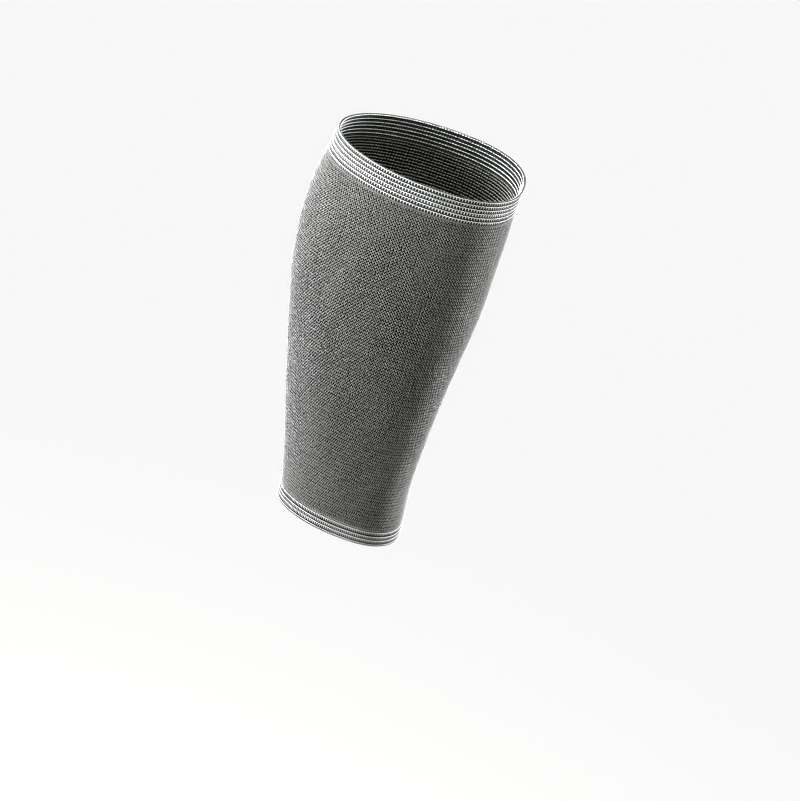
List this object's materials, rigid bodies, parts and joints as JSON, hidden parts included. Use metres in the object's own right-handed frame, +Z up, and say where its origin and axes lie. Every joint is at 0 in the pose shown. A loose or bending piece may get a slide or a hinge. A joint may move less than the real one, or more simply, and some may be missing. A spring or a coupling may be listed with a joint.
{
  "type": "calf support sleeve",
  "caption": "Tubular knitted elastic sleeve shaped to a lower leg, wide at the calf and narrow above the ankle, with a ribbed striped elastic border at each open end.",
  "frame": {"origin": "middle of the lower opening, in the plane of the lower rim, where the sleeve sits on the leg", "axes": "+Z up the leg along the shin, +X forwards to the shin with the calf at -X, Y across the leg"},
  "size_m": [0.1184, 0.1168, 0.228],
  "materials": {
    "grey_knit": "matt grey elastic knit with small dark openings between the wales",
    "striped_border": "matt elastic knit, raised white courses with dark rows between them"
  },
  "bodies": {
    "root": {"knit_sleeve": "grey_knit", "upper_border": "striped_border", "lower_border": "striped_border"}
  },
  "joints": []
}
